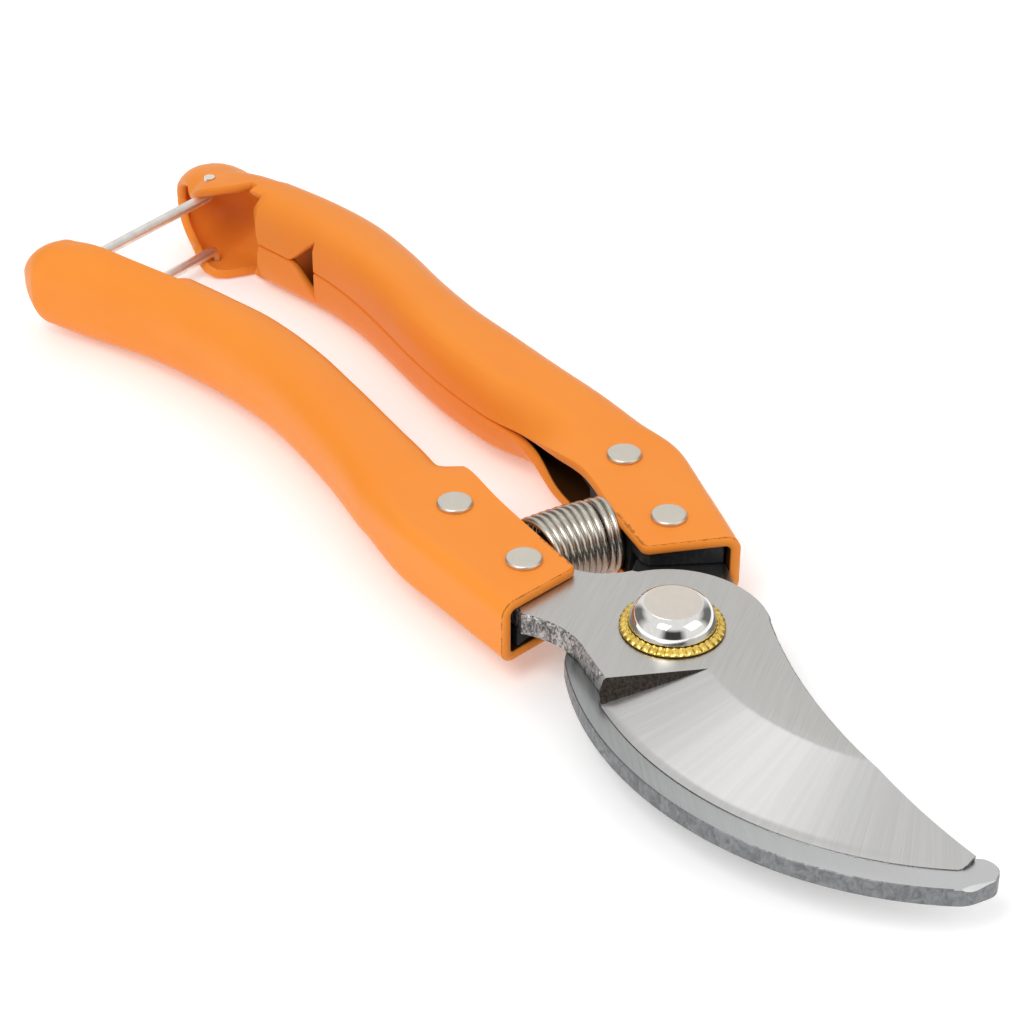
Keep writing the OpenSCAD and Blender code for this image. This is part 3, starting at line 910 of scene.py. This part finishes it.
def hook_outline():
    return ([from_channel(p, 1) for p in TANG] + arc((0, 0), HUB_R + 0.6, 178, 246, 40)
            + arc(HOOK_C, HOOK_R, 247.5, 328.6, 200) + hook_nose() + arc(TIP_C, TIP_R, 66, 160, 16)
            + arc((16.6, 35.1), 44, 320, 268.5, 110) + arc((16, -1.5), 7, 262, 150, 30)
            + arc((0, 0), HUB_R + 0.1, 50, 100, 30))


def grind_cutter():
    """What grinding takes away: above a slightly hollow cone about the edge's centre."""
    slope = (BLADE_T - EDGE_T) / GRIND_W
    middle = EDGE_R - GRIND_W / 2
    profile = []
    for k in range(41):
        r = EDGE_R - GRIND_W - 3 + k * (GRIND_W + 6) / 40
        z = EDGE_T + slope * (EDGE_R - r)
        z -= HOLLOW * max(0, 1 - ((r - middle) / (GRIND_W / 2)) ** 2) + 0.3 * max(0, r - EDGE_R + 0.8)
        profile.append((r, z))
    profile += [(profile[-1][0], BLADE_T + 2), (profile[0][0], BLADE_T + 2)]
    turns = [radians(246 + 90 * k / 240) for k in range(241)]
    cone = stack("cone", [[(EDGE_C[0] + r * cos(a), EDGE_C[1] + r * sin(a), SHEAR + z)
                           for r, z in profile] for a in turns])
    plan = [(0, -40), (80, -40), (80, 40), (0, 40)]
    turn = (Matrix.Translation((*SHOULDER, SHEAR + BLADE_T)) @ Matrix.Rotation(SHOULDER_TURN, 4, "Z")
            @ Matrix.Rotation(-SHOULDER_SLOPE, 4, "Y"))
    side = stack("side", [[turn @ Vector(p) for p in lifted(plan, z)] for z in (-40, 20)])
    combine(cone, [side], "INTERSECT")
    return cone


def cutting_face(centre, normal):
    """0 flat, 1 ground, 2 shoulder, 3 stamped side."""
    if abs(normal.z) > 0.9995:
        return 0
    near_edge = hypot(centre.x - EDGE_C[0], centre.y - EDGE_C[1])
    if normal.z > 0.85 or (near_edge > EDGE_R - 0.3 and centre.x > 6 and centre.z < SHEAR + EDGE_T):
        return 1
    sloped = abs(normal.z - sin(SHOULDER_SLOPE)) < 0.12
    return 2 if sloped and near_edge > 34 and centre.z > SHEAR + 0.3 and centre.x < 14 else 3


def cutting_blade():
    blade = plate("ground_cutting_blade", cutting_outline(), SHEAR, SHEAR + BLADE_T, 0.12, 0.24)
    hole = bore(BOLT_D / 2 + 0.05, (0, 0), -1, BLADE_T + 1, 96)
    combine(blade, [grind_cutter(), hole, *rivet_bores(-1)], "DIFFERENCE")
    edited(blade, split_broad_faces)
    # the shoulder's steel is painted near black, a painted shade
    dress(blade, 18, "blade_side", "cutting_blade", "blade_steel",
          BLADE_FLAT, GROUND, SHADED_SHOULDER_METAL, NECK_SIDE)
    paint_faces(blade, cutting_face)


def hook_blade():
    blade = plate("hook_blade_plate", hook_outline(), SHEAR - HOOK_T, SHEAR - 0.02, 0.12, 0.12)
    narrow, wide, reach = 0.12, 0.55, 1.6       # the chamfer's widths, and the wide part's half length
    line = arc(HOOK_C, HOOK_R, 248, 328.6, 200) + hook_nose()
    rings = []
    for k, point in enumerate(line):
        here, before, after = (Vector(line[min(max(k + d, 0), len(line) - 1)]) for d in (0, -1, 1))
        along = (after - before).normalized()
        out = Vector((along.y, -along.x))
        near = max(0, 1 - hypot(point[0] - NOSE_FACET[0], point[1] - NOSE_FACET[1]) / reach)
        cut = narrow + (wide - narrow) * min(1, 2 * near)
        rings.append([(*(here + out * r), SHEAR + z)
                      for r, z in ((-cut, 1), (3, 1), (3, -cut), (0.05, -cut), (-cut, 0.01))])
    hole = bore(BOLT_D / 2 + 0.02, (0, 0), -HOOK_T - 1, 1, 96)
    combine(blade, [stack("chamfer", rings), hole, *rivet_bores(1)], "DIFFERENCE")
    edited(blade, split_broad_faces)
    dress(blade, 22, "hook_side", "hook_blade", "hook_steel", HOOK_FLAT, HOOK_SIDE)
    paint_faces(blade, lambda centre, normal: int(abs(normal.z) <= (0.8 if centre.x < NOSE_X else 0.5)))
    # painted reflection: the hook's flat is painted lighter towards the nose
    store(blade, "painted_reflection", lambda v: between(HOOK_REFLECTION, v.co.x / MM))


cutting_blade()
hook_blade()


# ---- pivot ----

def pivot_bolt():
    """A threaded shank under a low domed head with a flat top; heights from the blades' plane."""
    top = BLADE_T + TOOTHED_T
    rim, swell, flat = (HEAD_D / 2, 0.15), (HEAD_D / 2 - 0.35, 2.35), (HEAD_FLAT_D / 2, HEAD_H)
    shank = BOLT_D / 2
    turns, pitch, first = 5, 1.0, 0.5 - SHEAR
    profile = [(0, -SHEAR), (shank - 0.5, -SHEAR)]
    for z in (first + k * pitch for k in range(turns)):
        profile += [(shank, z), (shank - 0.35, z + pitch / 2)]
    profile += [(shank, first + turns * pitch), (shank, top)]
    profile += [(HEAD_D / 2 - 0.05, top), (HEAD_D / 2, top + 0.05)]
    for t in (k / 14 for k in range(15)):
        r, z = ((1 - t) ** 2 * a + 2 * t * (1 - t) * b + t * t * c for a, b, c in zip(rim, swell, flat))
        profile.append((r, top + z))
    profile += [(HEAD_FLAT_D / 2 - 0.1, top + HEAD_H), (0, top + HEAD_H)]
    bolt = lathe("domed_pivot_bolt", profile, 128, (0, 0, SHEAR))
    dress(bolt, 30, "hook_side", "pivot_bolt", "bolt_chrome", CHROME, BOLT_FLAT)
    paint_faces(bolt, lambda centre, normal: int(abs(normal.z) > 0.97 and centre.z > SHEAR + top + 2))


def toothed_washer():
    """A thin ring with a row of beads round the bolt's head and an outer band of radial flutes."""
    inner, foot, outer = BOLT_D / 2 + 0.05, HEAD_D / 2, TOOTHED_D / 2
    bead_r, bead_w, bead_h = foot + 0.17, 0.17, 0.16
    band, groove, droop = foot + 0.34, 0.16, 0.3
    lift, lip = 0.22, 0.9                       # the band's rim stands clear of the blade
    radii = [inner, foot - 0.25] + [foot + 0.068 * k for k in range(6)]
    radii += [band + 0.08 + (outer - band - 0.08) * sin(radians(9 * k)) for k in range(11)]

    def height(radius, turn):
        """Above the blade, with a bead where there is a ridge and a narrow groove between ridges."""
        ridge = 0.5 + 0.5 * cos(turn * TEETH)
        bead = max(0, 1 - ((radius - bead_r) / bead_w) ** 2) * bead_h * ridge ** 0.7
        past = max(0, (radius - band) / (outer - band))
        sunk = groove * min(1, 4 * past) * (1 - ridge) ** 2 + droop * past ** 3
        return TOOTHED_T - bead_h + bead - sunk

    rings = []
    for turn in (2 * pi * k / (TEETH * 10) for k in range(TEETH * 10)):
        section = [(r, height(r, turn)) for r in radii]
        section += [(outer, lift), (outer - lip, lift), (outer - lip, 0), (inner, 0)]
        rings.append([(r * cos(turn), r * sin(turn), SHEAR + BLADE_T + z) for r, z in section])
    washer = stack("fluted_gold_washer", rings, closed=True)
    dress(washer, 50, "hook_side", "toothed_washer", "washer_brass", GOLD)


def plain_washer():
    inner, outer = BOLT_D / 2 + 0.05, WASHER_D / 2
    profile = rounded([(inner, 0), (outer, 0, True), (outer, WASHER_T, True), (inner, WASHER_T)], 0.15)
    washer = lathe("stamped_plain_washer", profile, 96, (0, 0, NUT_H))
    dress(washer, 40, "hook_side", "plain_washer", "nut_steel", ZINC)


def pivot_nut():
    corner = NUT_AF / 2 / cos(pi / 6)
    hexagon = arc((0, 0), corner, 0, 300, 5)
    nut = stack("chamfered_hex_nut", [lifted(hexagon, z) for z in (0, NUT_H)])
    flat = NUT_AF / 2 - 0.2
    envelope = [(0, -0.01), (flat, -0.01), (flat + 1.4, 0.8), (flat + 1.4, NUT_H - 0.5),
                (flat + 0.6, NUT_H + 0.01), (0, NUT_H + 0.01)]
    combine(nut, [lathe("envelope", envelope, 96)], "INTERSECT")
    mouth = BOLT_D / 2 + 0.05
    hole = [(0, -1), (mouth + 1.5, -1), (mouth, 0.5), (mouth, NUT_H + 1), (0, NUT_H + 1)]
    combine(nut, [lathe("hole", hole, 96)], "DIFFERENCE")
    round_edges(nut, 0.12, angle=35)
    dress(nut, 30, "hook_side", "pivot_nut", "nut_steel", ZINC)


pivot_bolt()
toothed_washer()
plain_washer()
pivot_nut()


# ---- rivets ----

def rivet(side, end, name, body):
    place = rivet_place(side, end)
    head, shank, top = RIVET_HEAD_D / 2, RIVET_D / 2, CHANNEL_H + RIVET_HEAD_H
    rim = 0.35
    half = [(shank, 0.0), (shank, CHANNEL_H), (head - 0.06, CHANNEL_H), (head, CHANNEL_H + 0.08)]
    half += arc((head - rim, top - rim), rim, 0, 90, 6)
    half += [(head * 0.5, top - 0.01), (0, top - 0.02)]
    profile = [(r, -z) for r, z in half[:0:-1]] + half
    piece = lathe("flat_head_rivet_" + name, profile, 64, (*place, SHEAR))
    metal = turned("rivet_steel_" + name, place, (0.62, 0.57, 0.5), (0.74, 0.69, 0.61), 0.36)
    dress(piece, 35, body, name, "rivet_steel", metal)


for side, handle_name, body in ((-1, "blade_handle", "blade_side"), (1, "hook_handle", "hook_side")):
    rivet(side, -1, handle_name + "_front_rivet", body)
    rivet(side, 1, handle_name + "_rear_rivet", body)


# ---- inserts ----

# In the channel's own axes: the block, and the full-height part that the spring rests against
INSERT = [(-14.6, 5.6), (11, 5.6), (12.6, 4.4), (12.6, -4), (11.4, -5), (-10.6, -5), (-11.9, -4.2)]
SPRING_SEAT = [(-8, SEAT_Y), (7, SEAT_Y), (7, -3.4), (-8, -3.4)]
PEG_R = 2.7
PEG_SUNK, PEG_OUT = 1.4, 2.6    # how far the spring's peg reaches into the seat and out of it


def insert(side, body, node):
    """Moulded block beside the tang, with a full-height seat and a peg for the spring."""
    low, high = (0, BLADE_T) if side > 0 else (-BLADE_T, 0)
    block = plate("moulded_" + node, [from_channel(p, side) for p in INSERT], SHEAR + low, SHEAR + high,
                  0.2, 0.2)
    seat = tidy_outline([from_channel(p, side) for p in SPRING_SEAT])
    combine(block, [stack("seat", [lifted(seat, SHEAR + z) for z in (-BLADE_T, BLADE_T)])], "UNION")
    round_edges(block, 0.22, angle=55)
    base, end = (Vector((*from_channel((SPRING_X, SEAT_Y + past), side), SHEAR))
                 for past in (PEG_SUNK, -PEG_OUT))
    length = (end - base).length
    peg = lathe("peg", rounded([(0, 0), (PEG_R, 0), (PEG_R, length, True), (0, length)], 0.5), 40)
    along = (end - base).to_track_quat("Z", "Y").to_matrix().to_4x4()
    peg.data.transform(Matrix.Translation(base * MM) @ along)
    combine(block, [peg], "UNION")
    combine(block, rivet_bores(side), "DIFFERENCE")
    dress(block, 35, body, node, "insert_plastic", PLASTIC)


insert(-1, "blade_side", "blade_handle_insert")
insert(1, "hook_side", "hook_handle_insert")


# ---- spring ----

def uneven(t):
    """Place along the spring: its coils lie closer together on both sides of one wider gap."""
    gap_at, gap, reach = 0.79, 0.03, 0.06
    step = min(max((t - gap_at) / reach + 0.5, 0), 1)
    return t * (1 - gap) + gap * step


def return_spring():
    """Coil on an arc, because the two seats are not parallel."""
    coil_r = (SPRING_D - WIRE_D) / 2
    seat = from_channel((SPRING_X, SEAT_Y), 1)
    bow_r = seat[1] / sin(CHANNEL_ANGLE)
    bow_x = seat[0] + bow_r * cos(CHANNEL_ANGLE)
    half = CHANNEL_ANGLE - asin((WIRE_D / 2 + 0.08) / bow_r)
    steps = TURNS * 32
    path, frames = [], []
    for i in range(steps + 1):
        coil = 2 * pi * TURNS * i / steps
        bow = -half + 2 * half * uneven(i / steps)
        out = Vector((-cos(bow), sin(bow), 0))
        along = Vector((sin(bow), cos(bow), 0))
        ray = out * cos(coil) + Vector((0, 0, sin(coil)))
        path.append(Vector((bow_x, 0, SHEAR)) + bow_r * out + coil_r * ray)
        frames.append((ray, along))
    spring = tube("coiled_return_spring", path, WIRE_D / 2, 16, frames)
    smooth(spring, 50)
    spring.data.materials.append(SPRING_METAL)
    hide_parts("return_spring")
    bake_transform(spring)


return_spring()


# ---- latch ----

def latch_bail():
    """One wire: a pin into each ear, two legs and the crossbar."""
    half = [(0, GRIP_H), (0, BAIL_H + EAR_BEND + 0.6)]
    half += arc((EAR_BEND, BAIL_H + EAR_BEND), EAR_BEND, 180, 270, 10)
    half += [(BAIL_L * k / 12, BAIL_H) for k in range(1, 12)]
    half += arc((BAIL_L - BAR_BEND, BAIL_H - BAR_BEND), BAR_BEND, 90, 0, 10)
    whole = half + [(BAIL_L, 0)] + [(x, -z) for x, z in reversed(half)]
    path = [(BAIL_PIVOT[0] + x * cos(BAIL_ANGLE), BAIL_PIVOT[1] + x * sin(BAIL_ANGLE), SHEAR + z)
            for x, z in whole]
    bail = tube("bent_wire_latch", path, BAIL_D / 2, 24)
    dress(bail, 50, "latch", "latch_bail", "latch_wire", BAIL_METAL)


latch_bail()


# ---- floor, light and camera ----

def ground_floor():
    """A plain pale floor just under the tool."""
    size, low = 3000, -0.3
    corners = [(-size, -size), (size, -size), (size, size), (-size, size)]
    ground = new_object("floor", lifted(corners, low), [(0, 1, 2, 3)])
    pale = Finish("pale_floor", (0.93, 0.93, 0.93), 0, 0.8,
                  Emission_Color=(1, 1, 1), Emission_Strength=0.22)
    ground.data.materials.append(pale.material)


def soft_light(name, place, target, size, power):
    """A square soft box, placed in millimetres, aimed at a point."""
    lamp = bpy.data.lights.new(name, "AREA")
    lamp.shape = "RECTANGLE"
    lamp.size, lamp.size_y = size[0] * MM, size[1] * MM
    lamp.energy = power
    obj = in_scene(name, lamp)
    obj.location = Vector(place) * MM
    obj.rotation_euler = (Vector(target) - Vector(place)).to_track_quat("-Z", "Y").to_euler()


# Where the studio is dark: round the compass from 0 to 1, camera's side first, then either flank
SCREENS = [(0.0, 1), (0.04, 0.2), (0.13, 0.2), (0.2, 1), (0.32, 1), (0.37, 0.06), (0.47, 0.06),
           (0.52, 1), (0.66, 1), (0.71, 0.2), (0.8, 0.2), (0.86, 1)]


def world_light(strength):
    """White overhead, with dark screens low round the studio that shiny metal reflects."""
    world = bpy.data.worlds.new("studio")
    world.use_nodes = True
    nodes = Nodes(world.node_tree)
    direction = nodes.add("TexCoord", "Generated")
    turn = nodes.maths("ARCTAN2", nodes.part(direction, "Y"), nodes.part(direction, "X"))
    compass = nodes.maths("ADD", nodes.maths("DIVIDE", turn, 2 * pi), 0.5)
    screens = nodes.ramp(compass, *SCREENS)
    overhead = nodes.ramp(nodes.part(direction, "Z"), (0.5, 0.0), (0.75, 1.0))
    background = nodes.tree.nodes["Background"].inputs
    nodes.feed(background["Color"], nodes.mix(overhead, screens, (1.0, 1.0, 1.0)))
    nodes.feed(background["Strength"], strength)
    bpy.context.scene.world = world


def camera():
    """The viewing direction: from the tips' side, above, with the blades to the right."""
    place = (229.1, -142.5, 202.4 + SHEAR)
    right = Vector((0.4617, 0.8870, 0)).normalized()
    forward = Vector((-0.7354, 0.3828, -0.5592)).normalized()
    up = right.cross(forward)
    data = bpy.data.cameras.new("camera")
    data.sensor_width = 36
    data.lens = 91.4
    data.clip_start = 0.01
    obj = in_scene("camera", data)
    obj.matrix_world = Matrix.Translation(Vector(place) * MM) @ Matrix(
        [(right[k], up[k], -forward[k]) for k in range(3)]).to_4x4()
    bpy.context.scene.camera = obj


bpy.context.scene.view_settings.view_transform = "Standard"
ground_floor()
world_light(0.86)
soft_light("key", (150, -330, 520), (-30, 0, 0), (260, 300), 1.5)
soft_light("fill", (350, 300, 420), (-40, 0, 0), (420, 420), 0.25)
soft_light("band", (-280, 70, 515), (30, -10, 0), (150, 150), 0.045)
camera()
